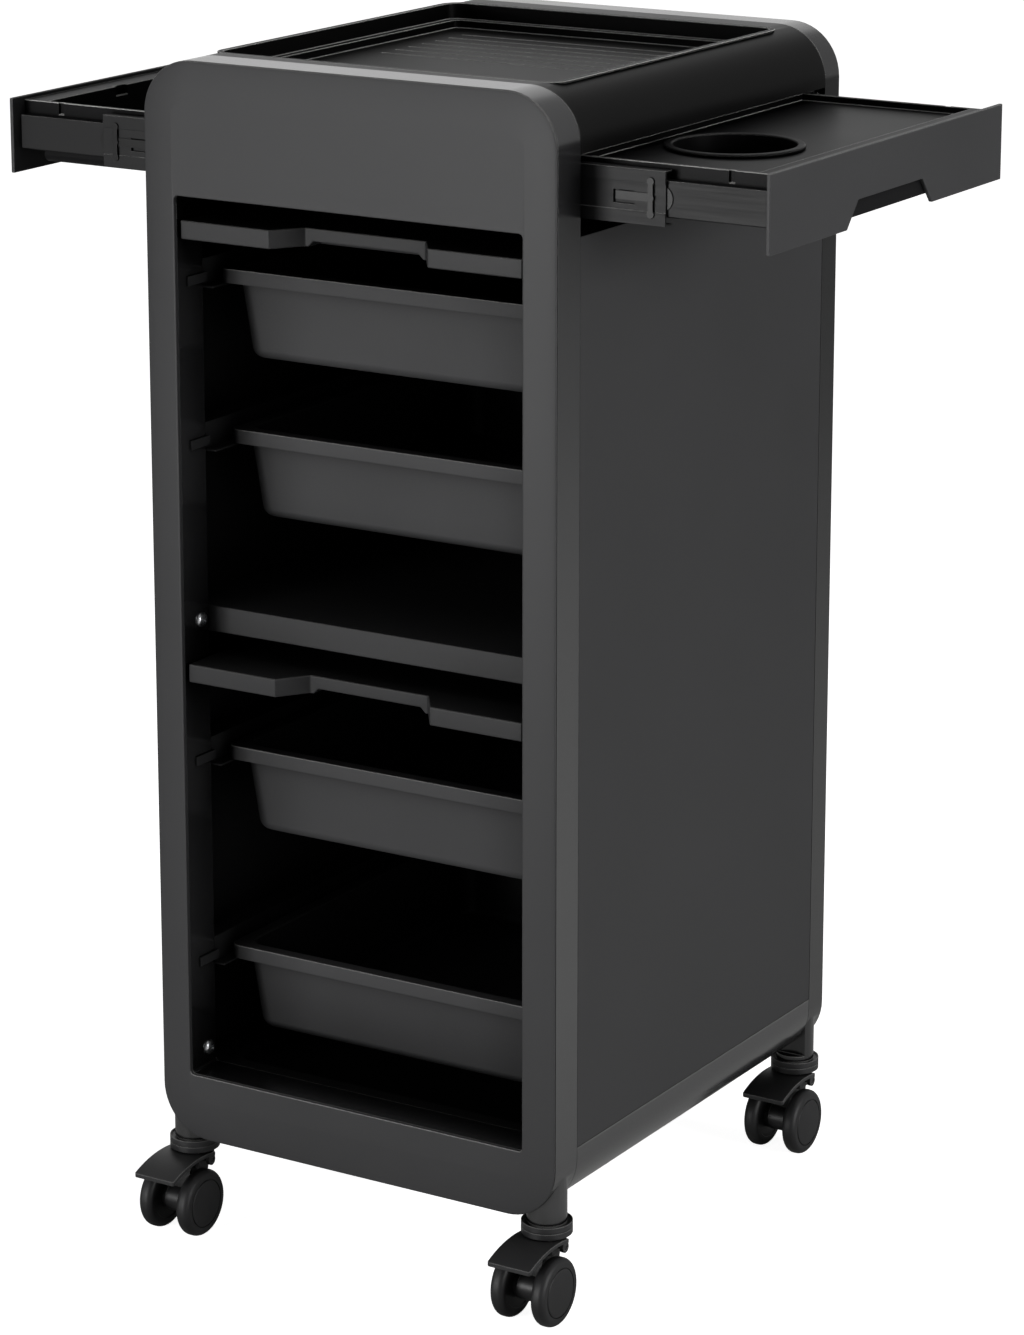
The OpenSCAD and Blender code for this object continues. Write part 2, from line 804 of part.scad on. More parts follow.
// The left drawer: a deep box with a ledge at its front
module drawer_left_box() {
    color("#2f2f2f") cabinet() mirror([1, 0, 0]) difference() {
        union() {
            difference() {
                block([drawer_in, drawer_y0, skirt_in_z], [front_x - front_t, drawer_y1, drawer_top]);
                block([box_x, drawer_y0 + drawer_wall, skirt_in_z - 1],
                      [front_x - front_t - drawer_wall, drawer_y1 - drawer_wall, drawer_top - drawer_wall]);
            }
            along_x(drawer_in, box_x)
                round_rect([drawer_y0, drawer_top - box_h], [drawer_y1, drawer_top], box_r);
            grip_plate();
        }
        along_x(drawer_in + drawer_wall, box_x - drawer_wall)
            round_rect([drawer_y0 + drawer_wall, drawer_top - box_h + drawer_wall],
                       [drawer_y1 - drawer_wall, drawer_top + box_h], box_r - 2);
        wall_slots();
        block([box_x - drawer_wall - 1, drawer_y0 + clip_y[0], drawer_top - clip_deep],
              [box_x + 1, drawer_y0 + clip_y[1], drawer_top + 1]);
    }
}

scoop_half = 47;
scoop_top = 43;
scoop_h = 4;
scoop_d = 14;
board_wall = 2.5;
rib_t = 2;
rib_n = 3;
notch_slope = 16;

// A board is a moulded tray turned over: a skin with walls and ribs below it.
module board(z) {
    cabinet() translate([0, board_y, z]) difference() {
        block([-board_half, 0, 0], [board_half, board_l, board_h]);
        difference() {
            block([-board_half + board_ledge + 1, notch_d + scoop_d + 4, -1],
                  [board_half - board_ledge - 1, board_l - board_wall, board_h - board_wall]);
            block([-rib_t / 2, 0, -2], [rib_t / 2, board_l, board_h]);
            for (i = [1 : rib_n]) translate([0, i * board_l / (rib_n + 1), 0])
                block([-board_half, 0, -2], [board_half, rib_t, board_h]);
        }
        translate([0, 0, -1]) linear_extrude(height = board_h + 2) polygon([
            [-notch_half, -1], [-notch_half + notch_slope, notch_d],
            [notch_half - notch_slope, notch_d], [notch_half, -1]]);
        along_y(notch_d - 1, notch_d + scoop_d) polygon([
            [-scoop_half, -1], [-scoop_half, 0], [-scoop_top, scoop_h],
            [scoop_top, scoop_h], [scoop_half, 0], [scoop_half, -1]]);
    }
}

module upper_board() { color("#333333") board(board_top_z); }
module lower_board() { color("#333333") board(board_low_z); }

// Side outline of a bin's body: half is its half width below the rim.
module bin_profile(half, low, high, r) {
    k = bin_taper / bin_h;
    foot = half - k * (high - low);
    edge = half - k * (high - low - r);
    cut = r * (1 - sqrt(0.5));
    polygon([[-half, high], [-edge, low + r], [cut - foot, low + cut], [r - foot, low],
             [foot - r, low], [foot - cut, low + cut], [edge, low + r], [half, high]]);
}

module bin_body_solid(wall, high) {
    low = -bin_h + wall;
    intersection() {
        along_y(0, bin_l) bin_profile(bin_body - wall, low, high, bin_r - wall);
        along_x(-bin_half, bin_half) translate([bin_l / 2, 0])
            bin_profile(bin_l / 2 - bin_lip - wall, low, high, bin_r - wall);
    }
}

module bin(i) {
    color("#3b3b3b") cabinet() translate([0, bin_backs[i], bin_tops[i]]) difference() {
        union() {
            bin_body_solid(0, 0);
            difference() {
                block([-bin_half, 0, -bin_rim_h], [bin_half, bin_l, 0]);
                difference() {
                    block([-bin_half + bin_wall, bin_wall, -bin_rim_h - 1],
                          [bin_half - bin_wall, bin_l - bin_wall, -bin_wall]);
                    block([-bin_body, bin_lip, -bin_rim_h - 2], [bin_body, bin_l - bin_lip, 0]);
                }
            }
        }
        bin_body_solid(bin_wall, 1);
    }
}

module bin_1() { bin(0); }
module bin_2() { bin(1); }
module bin_3() { bin(2); }
module bin_4() { bin(3); }

// Where the four casters stand: front left, front right, back left, back right
function stem_x(c) = (c % 2 == 0 ? -1 : 1) * (body_w / 2 - stem_inset);
function stem_y(c) = c < 2 ? stem_front : body_d - stem_back;

module at_stem(c) { cabinet() translate([stem_x(c), stem_y(c), 0]) children(); }

neck_x = 10.3;
neck_l = 14;
rib_half = 6;

// Side outline of the rib from the neck down to the hub
module rib_outline() {
    neck_z = housing_z - housing_t;
    polygon([[neck_half, neck_z - 10], [neck_half, housing_z - 2], [-neck_half, housing_z - 2],
             [-neck_half - 6, pivot_z - 10], [-trail - hub_r + 2, axle_z + 3], [-trail, axle_z - 4],
             [-trail + hub_r - 2, axle_z - 3], [neck_half - 4, pivot_z - 20]]);
}

module caster_housing(c) {
    color("#272727") at_stem(c) difference() {
        union() {
            translate([0, 0, housing_z - housing_t]) cylinder(r = collar_r, h = housing_t);
            block([-neck_x, -neck_half, housing_z - housing_t - neck_l], [neck_x, neck_half, housing_z - 1]);
            along_x(-rib_half, rib_half) rib_outline();
            translate([-hub_w / 2, -trail, axle_z]) rotate([0, 90, 0]) cylinder(r = hub_r, h = hub_w);
            translate([-pivot_half, pivot_y, pivot_z]) rotate([0, 90, 0])
                cylinder(r = pivot_r, h = 2 * pivot_half);
        }
        translate([0, 0, housing_z - stem_low - 1]) cylinder(r = stem_r + run_clear, h = stem_low + 5);
        translate([-hub_w, -trail, axle_z]) rotate([0, 90, 0])
            cylinder(r = axle_r + run_clear, h = 2 * hub_w);
    }
}

// Highest point of the pedal, its thickness under it and the radius of its arc
hood_z = -14.2;
hood_r = 90;
hood_y = -16;
hood_back = 1;
tip_cut = 2.5;
lug_t = 3;
lug_half = 3.6;
lug_r = 4;
lug_top = hood_z - pedal_t - 0.2;
neck_gap = 0.7;
neck_front = 3;

// Profile of the pedal, drawn in Y and Z: an arc that falls towards the tip
module hood_profile() {
    intersection() {
        translate([hood_y, hood_z - hood_r]) difference() {
            circle(r = hood_r);
            circle(r = hood_r - pedal_t);
        }
        translate([-pedal_reach, hood_z - hood_r]) square([pedal_reach + hood_back, hood_r + 1]);
    }
}

// The pedal clasps the neck of the housing, and two lugs hold it on the pivot pin.
module caster_pedal(c) {
    half = pedal_w / 2;
    color("#2a2a2a") at_stem(c) difference() {
        union() {
            intersection() {
                along_x(-half, half) hood_profile();
                translate([0, 0, -hood_r]) linear_extrude(height = hood_r) polygon([
                    [-half - 1, hood_back + 1], [-half - 1, tip_cut - pedal_reach - 1],
                    [tip_cut - half, -pedal_reach - 1], [half - tip_cut, -pedal_reach - 1],
                    [half + 1, tip_cut - pedal_reach - 1], [half + 1, hood_back + 1]]);
            }
            for (x = [-half, half - lug_t]) {
                block([x, pivot_y - lug_half, pivot_z], [x + lug_t, pivot_y + lug_half, lug_top]);
                translate([x, pivot_y, pivot_z]) rotate([0, 90, 0]) cylinder(r = lug_r, h = lug_t);
            }
        }
        block([-neck_x - neck_gap, -neck_half - neck_front, -hood_r], [neck_x + neck_gap, collar_r, 0]);
        translate([-pedal_w, pivot_y, pivot_z]) rotate([0, 90, 0])
            cylinder(r = pivot_r + run_clear, h = 2 * pedal_w);
    }
}

wheel_gap = 0.4;
bush_w = 2.6;
wheel_round = 4.8;
cap_r = 18;
cap_t = 2;
cap_seam = 0.3;
axle_end = 0.1;
axle_in = wheel_w - cap_t - 0.5;
axle_half = hub_w / 2 + wheel_gap + bush_w + axle_in;

module caster_axle(c) {
    color("#9a9da1") at_stem(c) translate([-axle_half, -trail, axle_z]) rotate([0, 90, 0])
        cylinder(r = axle_r, h = 2 * axle_half);
}

// Half section of a wheel: radius along X of the sketch, width along Y
module wheel_section() {
    square([wheel_r - wheel_round, wheel_w]);
    translate([0, wheel_round]) square([wheel_r, wheel_w - 2 * wheel_round]);
    for (y = [wheel_round, wheel_w - wheel_round])
        translate([wheel_r - wheel_round, y]) circle(r = wheel_round);
    translate([0, -bush_w]) square([hub_r - 0.5, bush_w + 1]);
}

// A wheel with its cap, turned towards s along X
module caster_wheel(c, s) {
    color("#232323") at_stem(c) translate([0, -trail, axle_z]) mirror([s < 0 ? 1 : 0, 0, 0])
        translate([hub_w / 2 + wheel_gap + bush_w, 0, 0]) rotate([0, 90, 0]) {
            difference() {
                rotate_extrude() wheel_section();
                translate([0, 0, -2 * bush_w])
                    cylinder(r = axle_r + run_clear, h = 2 * bush_w + axle_in + axle_end);
                translate([0, 0, wheel_w - cap_t]) cylinder(r = cap_r, h = cap_t + 1);
            }
            translate([0, 0, wheel_w - cap_t]) cylinder(r = cap_r - cap_seam, h = cap_t + cap_seam);
            translate([0, 0, wheel_w + 0.2]) cylinder(r1 = cap_r - cap_seam, r2 = cap_r - 2, h = 0.7);
        }
}

module caster_fl_housing() { caster_housing(0); }
module caster_fl_pedal() { caster_pedal(0); }
module caster_fl_axle() { caster_axle(0); }
module caster_fl_wheel_left() { caster_wheel(0, -1); }
module caster_fl_wheel_right() { caster_wheel(0, 1); }

module caster_fr_housing() { caster_housing(1); }
module caster_fr_pedal() { caster_pedal(1); }
module caster_fr_axle() { caster_axle(1); }
module caster_fr_wheel_left() { caster_wheel(1, -1); }
module caster_fr_wheel_right() { caster_wheel(1, 1); }

module caster_bl_housing() { caster_housing(2); }
module caster_bl_pedal() { caster_pedal(2); }
module caster_bl_axle() { caster_axle(2); }
module caster_bl_wheel_left() { caster_wheel(2, -1); }
module caster_bl_wheel_right() { caster_wheel(2, 1); }

module caster_br_housing() { caster_housing(3); }
module caster_br_pedal() { caster_pedal(3); }
module caster_br_axle() { caster_axle(3); }
module caster_br_wheel_left() { caster_wheel(3, -1); }
module caster_br_wheel_right() { caster_wheel(3, 1); }

front_plate();
front_frame();
back_frame();
back_panel();
side_panel_left();
side_panel_right();
base_shell();
base_floor();
top_cover();
top_tray();
drawer_bay_floor();
slide_mounts();
middle_shelf();
bin_runners();
board_runners();
frame_screws();
caster_stems();
slide_outers();
slide_middle_right();
slide_middle_left();
slide_cages_right();
slide_cages_left();
slide_latches_right();
slide_latches_left();
slide_inner_right();
slide_inner_left();
drawer_right_tray();
drawer_right_front();
cup_insert();
drawer_left_box();
drawer_left_front();
upper_board();
lower_board();
bin_1();
bin_2();
bin_3();
bin_4();
caster_fl_housing();
caster_fl_pedal();
caster_fl_axle();
caster_fl_wheel_left();
caster_fl_wheel_right();
caster_fr_housing();
caster_fr_pedal();
caster_fr_axle();
caster_fr_wheel_left();
caster_fr_wheel_right();
caster_bl_housing();
caster_bl_pedal();
caster_bl_axle();
caster_bl_wheel_left();
caster_bl_wheel_right();
caster_br_housing();
caster_br_pedal();
caster_br_axle();
caster_br_wheel_left();
caster_br_wheel_right();
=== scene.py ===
import json
import math

import bmesh
import bpy
from mathutils import Matrix, Vector


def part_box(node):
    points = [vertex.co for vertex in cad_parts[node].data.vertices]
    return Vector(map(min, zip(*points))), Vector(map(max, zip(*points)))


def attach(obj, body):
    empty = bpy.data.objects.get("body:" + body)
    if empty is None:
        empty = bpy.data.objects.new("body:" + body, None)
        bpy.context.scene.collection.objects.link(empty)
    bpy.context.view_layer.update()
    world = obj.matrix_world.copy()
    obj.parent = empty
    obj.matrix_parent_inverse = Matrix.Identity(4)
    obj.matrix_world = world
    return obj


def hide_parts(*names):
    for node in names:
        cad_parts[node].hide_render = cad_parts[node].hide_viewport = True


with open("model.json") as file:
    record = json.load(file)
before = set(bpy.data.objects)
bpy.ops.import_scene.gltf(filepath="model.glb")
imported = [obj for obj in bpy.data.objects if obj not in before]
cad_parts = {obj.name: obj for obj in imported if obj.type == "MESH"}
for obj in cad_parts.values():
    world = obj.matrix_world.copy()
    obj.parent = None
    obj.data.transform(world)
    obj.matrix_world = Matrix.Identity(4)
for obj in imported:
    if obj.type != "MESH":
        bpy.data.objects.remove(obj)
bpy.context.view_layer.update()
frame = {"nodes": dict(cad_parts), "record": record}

mm = 0.001
nodes = frame["nodes"]


# helpers for node trees

def addNode(tree, kind, **values):
    node = tree.nodes.new(kind)
    for name, value in values.items():
        setattr(node, name, value)
    return node


def addSocket(tree, name, kind, inOut, value=None):
    socket = tree.interface.new_socket(name=name, in_out=inOut, socket_type=kind)
    if value is not None:
        socket.default_value = value


# a Math node whose inputs are given as numbers or as sockets of other nodes
def addMath(tree, operation, *values):
    node = addNode(tree, "ShaderNodeMath", operation=operation)
    for socket, value in zip(node.inputs, values):
        if isinstance(value, (int, float)):
            socket.default_value = value
        else:
            tree.links.new(value, socket)
    return node.outputs[0]


def addRange(tree, fromValues=(0.0, 1.0), toValues=(0.0, 1.0), kind="LINEAR"):
    node = addNode(tree, "ShaderNodeMapRange", interpolation_type=kind)
    labels = ("From Min", "From Max", "To Min", "To Max")
    for label, value in zip(labels, fromValues + toValues):
        node.inputs[label].default_value = value
    return node


def addNoise(tree, detail, scale=None):
    noise = addNode(tree, "ShaderNodeTexNoise")
    noise.inputs["Detail"].default_value = detail
    if scale:
        noise.inputs["Scale"].default_value = scale
    return noise


def scaleColour(tree, colour, share):
    scaled = addNode(tree, "ShaderNodeVectorMath", operation="SCALE")
    tree.links.new(colour, scaled.inputs[0])
    tree.links.new(share, scaled.inputs["Scale"])
    return scaled.outputs[0]


# the colours of a Mix node are its inputs 6 and 7 and its output 2
def mixColours(tree, share, first, second):
    mix = addNode(tree, "ShaderNodeMix", data_type="RGBA")
    tree.links.new(share, mix.inputs["Factor"])
    tree.links.new(first, mix.inputs[6])
    tree.links.new(second, mix.inputs[7])
    return mix.outputs[2]


# camera, lamps and floor

cameraSettings = {
    "place": (1.6334, -2.6290, 1.3044),
    "turn": 31.5461,      # degrees round Z
    "down": 14.2168,      # degrees below the horizon
    "lens": 118.184,
    "sensor": 36,
    "shift": -0.11,
}


def makeCamera(settings):
    data = bpy.data.cameras.new("camera")
    data.sensor_fit = "VERTICAL"
    data.sensor_width = data.sensor_height = settings["sensor"]
    data.lens = settings["lens"]
    data.shift_y = settings["shift"]
    camera = bpy.data.objects.new("camera", data)
    camera.location = settings["place"]
    camera.rotation_euler = (math.radians(90 - settings["down"]), 0, math.radians(settings["turn"]))
    bpy.context.collection.objects.link(camera)
    bpy.context.scene.camera = camera


lampSettings = {
    "keyLamp": {"place": (-1.1, -3.2, 0.5), "aim": (0, -0.1, 0.36), "size": 1.2, "power": 82},
    "sideLamp": {"place": (3.0, -0.1, 0.9), "aim": (0.1, 0, 0.45), "size": 1.3, "power": 66},
    "topLamp": {"place": (0.2, 0.2, 3.0), "aim": (0, 0, 0.8), "size": 1.6, "power": 14},
}


def makeLamp(name, settings):
    data = bpy.data.lights.new(name, "AREA")
    data.shape = "SQUARE"
    data.size = settings["size"]
    data.energy = settings["power"]
    lamp = bpy.data.objects.new(name, data)
    lamp.location = settings["place"]
    aim = Vector(settings["aim"]) - Vector(settings["place"])
    lamp.rotation_euler = aim.to_track_quat("-Z", "Y").to_euler()
    bpy.context.collection.objects.link(lamp)


worldSettings = {
    "ambient": 0.13,                  # light of the room on the object
    "seen": 1.0,                      # backdrop as the camera sees it
    "mirrored": (0.3, 1.7),           # share of it that reflections see, at the sides and behind
    "behind": (-0.51, 0.83, 0.22),    # direction from the object to the bright part of the backdrop
    "brightPart": (0.84, 0.97),       # cosines where that part starts and where it is full
}


# the dim room lights the object; the camera and reflections see the white backdrop
def makeWorld(settings):
    world = bpy.data.worlds.new("studio")
    bpy.context.scene.world = world
    world.use_nodes = True
    tree = world.node_tree
    tree.nodes.clear()
    link = tree.links.new
    path = addNode(tree, "ShaderNodeLightPath")
    ray = addNode(tree, "ShaderNodeTexCoord")
    towards = addNode(tree, "ShaderNodeVectorMath", operation="DOT_PRODUCT")
    towards.inputs[1].default_value = settings["behind"]
    strip = addRange(tree, settings["brightPart"], settings["mirrored"], "SMOOTHSTEP")
    link(ray.outputs["Generated"], towards.inputs[0])
    link(towards.outputs["Value"], strip.inputs["Value"])
    clear = addMath(tree, "MAXIMUM", path.outputs["Is Glossy Ray"], path.outputs["Is Transmission Ray"])
    dimmed = addMath(tree, "MULTIPLY", clear, strip.outputs[0])
    seen = addMath(tree, "MAXIMUM", path.outputs["Is Camera Ray"], dimmed)
    room = addNode(tree, "ShaderNodeBackground")
    room.inputs["Strength"].default_value = settings["ambient"]
    backdrop = addNode(tree, "ShaderNodeBackground")
    backdrop.inputs["Color"].default_value = (1, 1, 1, 1)
    backdrop.inputs["Strength"].default_value = settings["seen"]
    mix = addNode(tree, "ShaderNodeMixShader")
    out = addNode(tree, "ShaderNodeOutputWorld")
    link(seen, mix.inputs["Fac"])
    link(room.outputs[0], mix.inputs[1])
    link(backdrop.outputs[0], mix.inputs[2])
    link(mix.outputs[0], out.inputs["Surface"])


floorSettings = {
    "size": 14.0,
    "colour": (0.86, 0.86, 0.85, 1),
    "lift": (0.92, 1.0),       # light added to the floor as the camera sees it, near and far
    "reach": (0.35, 0.9),      # distances from the middle where near ends and far starts
}


def makeFloor(settings):
    half = settings["size"] / 2
    corners = [(-half, -half, 0), (half, -half, 0), (half, half, 0), (-half, half, 0)]
    mesh = bpy.data.meshes.new("floor")
    mesh.from_pydata(corners, [], [(0, 1, 2, 3)])
    floor = bpy.data.objects.new("floor", mesh)
    bpy.context.collection.objects.link(floor)
    material = bpy.data.materials.new("paleFloor")
    material.use_nodes = True
    tree = material.node_tree
    tree.nodes.clear()
    link = tree.links.new
    diffuse = addNode(tree, "ShaderNodeBsdfDiffuse")
    diffuse.inputs["Color"].default_value = settings["colour"]
    path = addNode(tree, "ShaderNodeLightPath")
    ground = addNode(tree, "ShaderNodeTexCoord")
    away = addNode(tree, "ShaderNodeVectorMath", operation="LENGTH")
    rise = addRange(tree, settings["reach"], settings["lift"], "SMOOTHSTEP")
    link(ground.outputs["Object"], away.inputs[0])
    link(away.outputs["Value"], rise.inputs["Value"])
    glow = addNode(tree, "ShaderNodeEmission")
    lift = addMath(tree, "MULTIPLY", path.outputs["Is Camera Ray"], rise.outputs[0])
    link(lift, glow.inputs["Strength"])
    add = addNode(tree, "ShaderNodeAddShader")
    out = addNode(tree, "ShaderNodeOutputMaterial")
    link(diffuse.outputs[0], add.inputs[0])
    link(glow.outputs[0], add.inputs[1])
    link(add.outputs[0], out.inputs["Surface"])
    mesh.materials.append(material)


makeCamera(cameraSettings)
makeWorld(worldSettings)
makeFloor(floorSettings)
for lampName, lampValues in lampSettings.items():
    makeLamp(lampName, lampValues)
bpy.context.scene.view_settings.view_transform = "Standard"
print("stage: camera, floor and lamps")


# shader groups and finishes

plainDark = (0.05, 0.05, 0.05, 1)


# starts a shader group; a colour is given as four values and a number as one
def startGroup(name, inputs, outputs):
    group = bpy.data.node_groups.new(name, "ShaderNodeTree")
    for label, value in inputs.items():
        kind = "NodeSocketColor" if isinstance(value, tuple) else "NodeSocketFloat"
        addSocket(group, label, kind, "INPUT", value)
    for label in outputs:
        kind = "NodeSocketColor" if label == "Colour" else "NodeSocketFloat"
        addSocket(group, label, kind, "OUTPUT")
    return group, addNode(group, "NodeGroupInput").outputs, addNode(group, "NodeGroupOutput").inputs


# moulded plastic: a broad mottle in the colour and the gloss, a fine grain in the height
def mouldedGrain():
    inputs = {
        "Tint": plainDark, "Grain Size": 900.0, "Mottle": 0.12, "Roughness": 0.45, "Roughness Spread": 0.08,
    }
    group, given, out = startGroup("mouldedGrain", inputs, ("Colour", "Roughness", "Height"))
    link = group.links.new
    place = addNode(group, "ShaderNodeTexCoord")
    fine = addNoise(group, 3.0)
    cells = addNode(group, "ShaderNodeTexVoronoi", feature="SMOOTH_F1")
    broad = addNoise(group, 4.0, 9.0)
    for texture in (fine, cells, broad):
        link(place.outputs["Object"], texture.inputs["Vector"])
    link(given["Grain Size"], fine.inputs["Scale"])
    link(given["Grain Size"], cells.inputs["Scale"])
    mottle = addRange(group, (0.3, 0.7))
    link(broad.outputs["Fac"], mottle.inputs["Value"])
    link(addMath(group, "SUBTRACT", 1.0, given["Mottle"]), mottle.inputs["To Min"])
    link(addMath(group, "ADD", 1.0, given["Mottle"]), mottle.inputs["To Max"])
    link(scaleColour(group, given["Tint"], mottle.outputs[0]), out["Colour"])
    centred = addMath(group, "SUBTRACT", broad.outputs["Fac"], 0.5)
    rough = addMath(group, "MULTIPLY_ADD", centred, given["Roughness Spread"], given["Roughness"])
    link(rough, out["Roughness"])
    link(addMath(group, "ADD", fine.outputs["Fac"], cells.outputs["Distance"]), out["Height"])
    return group


# a thin uneven layer of dust on what faces up
def settledDust():
    inputs = {"Colour": plainDark, "Dust": (0.3, 0.29, 0.27, 1), "Amount": 0.05}
    group, given, out = startGroup("settledDust", inputs, ("Colour",))
    link = group.links.new
    place = addNode(group, "ShaderNodeTexCoord")
    split = addNode(group, "ShaderNodeSeparateXYZ")
    specks = addNoise(group, 5.0, 60.0)
    upward = addRange(group, (0.6, 1.0))
    link(place.outputs["Normal"], split.inputs[0])
    link(place.outputs["Object"], specks.inputs["Vector"])
    link(split.outputs["Z"], upward.inputs["Value"])
    mask = addMath(group, "MULTIPLY", upward.outputs[0], specks.outputs["Fac"])
    share = addMath(group, "MULTIPLY", mask, given["Amount"])
    link(mixColours(group, share, given["Colour"], given["Dust"]), out["Colour"])
    return group


# rolled steel: streaks along X in the colour, the gloss and the height
def drawnSteel():
    inputs = {"Tint": (0.2, 0.2, 0.2, 1), "Streaks": 500.0, "Roughness": 0.35}
    group, given, out = startGroup("drawnSteel", inputs, ("Colour", "Roughness", "Height"))
    link = group.links.new
    place = addNode(group, "ShaderNodeTexCoord")
    stretch = addNode(group, "ShaderNodeMapping")
    stretch.inputs["Scale"].default_value = (0.03, 1.0, 1.0)
    streaks = addNoise(group, 4.0)
    link(place.outputs["Object"], stretch.inputs["Vector"])
    link(stretch.outputs[0], streaks.inputs["Vector"])
    link(given["Streaks"], streaks.inputs["Scale"])
    shade = addRange(group, (0.0, 1.0), (0.8, 1.2))
    link(streaks.outputs["Fac"], shade.inputs["Value"])
    link(scaleColour(group, given["Tint"], shade.outputs[0]), out["Colour"])
    link(addMath(group, "MULTIPLY", shade.outputs[0], given["Roughness"]), out["Roughness"])
    link(streaks.outputs["Fac"], out["Height"])
    return group


# darkens the colour where a surface lies deep between others
def deepShade():
    inputs = {"Colour": plainDark, "Reach": 0.08, "Strength": 1.5}
    group, given, out = startGroup("deepShade", inputs, ("Colour",))
    openness = addNode(group, "ShaderNodeAmbientOcclusion", samples=6)
    group.links.new(given["Reach"], openness.inputs["Distance"])
    share = addMath(group, "POWER", openness.outputs["AO"], given["Strength"])
    group.links.new(scaleColour(group, given["Colour"], share), out["Colour"])
    return group


# paints a highlight into the colour of the upper edges, where the coating catches the light
def edgeLight():
    inputs = {"Colour": plainDark, "Highlight Colour": (0.8, 0.8, 0.78, 1), "Width": 0.0012, "Strength": 0.5}
    group, given, out = startGroup("edgeLight", inputs, ("Colour",))
    link = group.links.new
    face = addNode(group, "ShaderNodeNewGeometry")
    eased = addNode(group, "ShaderNodeBevel", samples=6)
    alike = addNode(group, "ShaderNodeVectorMath", operation="DOT_PRODUCT")
    split = addNode(group, "ShaderNodeSeparateXYZ")
    edge = addRange(group, (0.995, 0.93))
    upper = addRange(group, (0.1, 0.5))
    link(given["Width"], eased.inputs["Radius"])
    link(eased.outputs[0], alike.inputs[0])
    link(face.outputs["Normal"], alike.inputs[1])
    link(alike.outputs["Value"], edge.inputs["Value"])
    link(eased.outputs[0], split.inputs[0])
    link(split.outputs["Z"], upper.inputs["Value"])
    both = addMath(group, "MULTIPLY", edge.outputs[0], upper.outputs[0])
    share = addMath(group, "MULTIPLY", both, given["Strength"])
    link(mixColours(group, share, given["Colour"], given["Highlight Colour"]), out["Colour"])
    return group


def srgb(code):
    parts = [int(code[i:i + 2], 16) / 255 for i in (0, 2, 4)]
    return tuple(p / 12.92 if p <= 0.04045 else ((p + 0.055) / 1.055) ** 2.4 for p in parts) + (1,)


grainGroup = mouldedGrain()
dustGroup = settledDust()
steelGroup = drawnSteel()
deepGroup = deepShade()
edgeHighlightGroup = edgeLight()


def startFinish(name, specular):
    material = bpy.data.materials.new(name)
    material.use_nodes = True
    shader = material.node_tree.nodes["Principled BSDF"]
    shader.inputs["Specular IOR Level"].default_value = specular
    return material, material.node_tree, shader


def placeGroup(tree, group, values):
    node = addNode(tree, "ShaderNodeGroup", node_tree=group)
    for label, value in values.items():
        node.inputs[label].default_value = value
    return node


def addBump(tree, shader, height, strength, depth):
    bump = addNode(tree, "ShaderNodeBump")
    bump.inputs["Strength"].default_value = strength
    bump.inputs["Distance"].default_value = depth * mm
    tree.links.new(height, bump.inputs["Height"])
    tree.links.new(bump.outputs[0], shader.inputs["Normal"])


mouldedLook = {"mottle": 0.06, "spread": 0.08, "bump": 0.5}
steelLook = {"highlightWidth": 0.0004, "bump": 0.4}


# edge is the strength of the painted highlight on upper edges, deep that of the painted shade in hollows
def mouldedFinish(name, colour, rough=0.45, grain=900.0, depth=0.03, dust=0.03, specular=0.3,
                  deep=1.5, edge=0.0):
    material, tree, shader = startFinish(name, specular)
    grainNode = placeGroup(tree, grainGroup, {
        "Tint": srgb(colour), "Grain Size": grain, "Mottle": mouldedLook["mottle"],
        "Roughness": rough, "Roughness Spread": mouldedLook["spread"],
    })
    dustNode = placeGroup(tree, dustGroup, {"Amount": dust})
    deepNode = placeGroup(tree, deepGroup, {"Strength": deep})
    edgeHighlightNode = placeGroup(tree, edgeHighlightGroup, {"Strength": edge})
    link = tree.links.new
    link(grainNode.outputs["Colour"], dustNode.inputs["Colour"])
    link(dustNode.outputs["Colour"], deepNode.inputs["Colour"])
    link(deepNode.outputs["Colour"], edgeHighlightNode.inputs["Colour"])
    link(edgeHighlightNode.outputs["Colour"], shader.inputs["Base Color"])
    link(grainNode.outputs["Roughness"], shader.inputs["Roughness"])
    addBump(tree, shader, grainNode.outputs["Height"], mouldedLook["bump"], depth)
    return material


# edge is the strength of the painted highlight on upper edges
def steelFinish(name, colour, rough=0.35, metallic=1.0, streaks=500.0, depth=0.01, edge=0.0, specular=0.5):
    material, tree, shader = startFinish(name, specular)
    shader.inputs["Metallic"].default_value = metallic
    steelNode = placeGroup(tree, steelGroup, {"Tint": srgb(colour), "Streaks": streaks, "Roughness": rough})
    edgeHighlightNode = placeGroup(tree, edgeHighlightGroup, {"Strength": edge, "Width": steelLook["highlightWidth"]})
    link = tree.links.new
    link(steelNode.outputs["Colour"], edgeHighlightNode.inputs["Colour"])
    link(edgeHighlightNode.outputs["Colour"], shader.inputs["Base Color"])
    link(steelNode.outputs["Roughness"], shader.inputs["Roughness"])
    addBump(tree, shader, steelNode.outputs["Height"], steelLook["bump"], depth)
    return material
